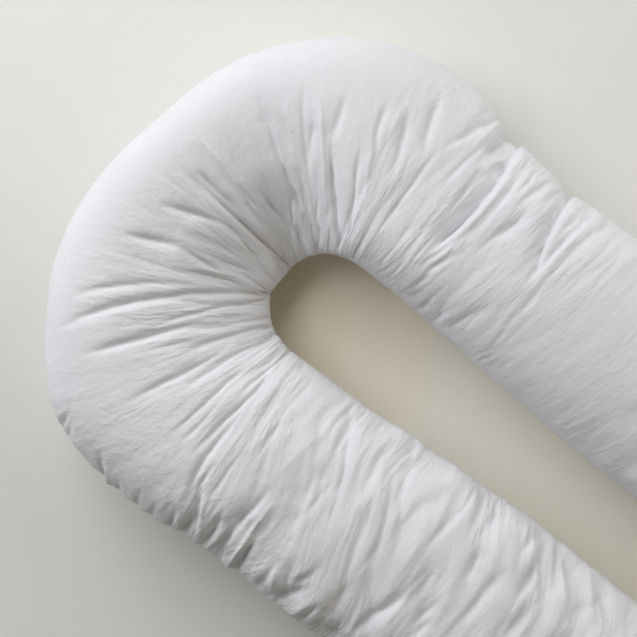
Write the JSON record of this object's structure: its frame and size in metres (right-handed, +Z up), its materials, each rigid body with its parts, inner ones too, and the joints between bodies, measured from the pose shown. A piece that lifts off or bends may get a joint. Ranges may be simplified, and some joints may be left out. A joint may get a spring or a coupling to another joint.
{
  "type": "body pillow",
  "caption": "U-shaped stuffed body pillow in white cotton, one continuous plump tube bent back beside itself, lying flat",
  "frame": {"origin": "on the floor under the middle of the pillow's box", "axes": "+Y from the open end of the U towards its bend, +Z up out of the face that rests on the floor, +X to the right seen from above with the bend at the top"},
  "size_m": [0.8298, 1.4338, 0.2067],
  "materials": {
    "cotton": "plain white cotton, matt, closely woven, softly creased"
  },
  "bodies": {
    "root": {"pillow": "cotton"}
  },
  "joints": []
}
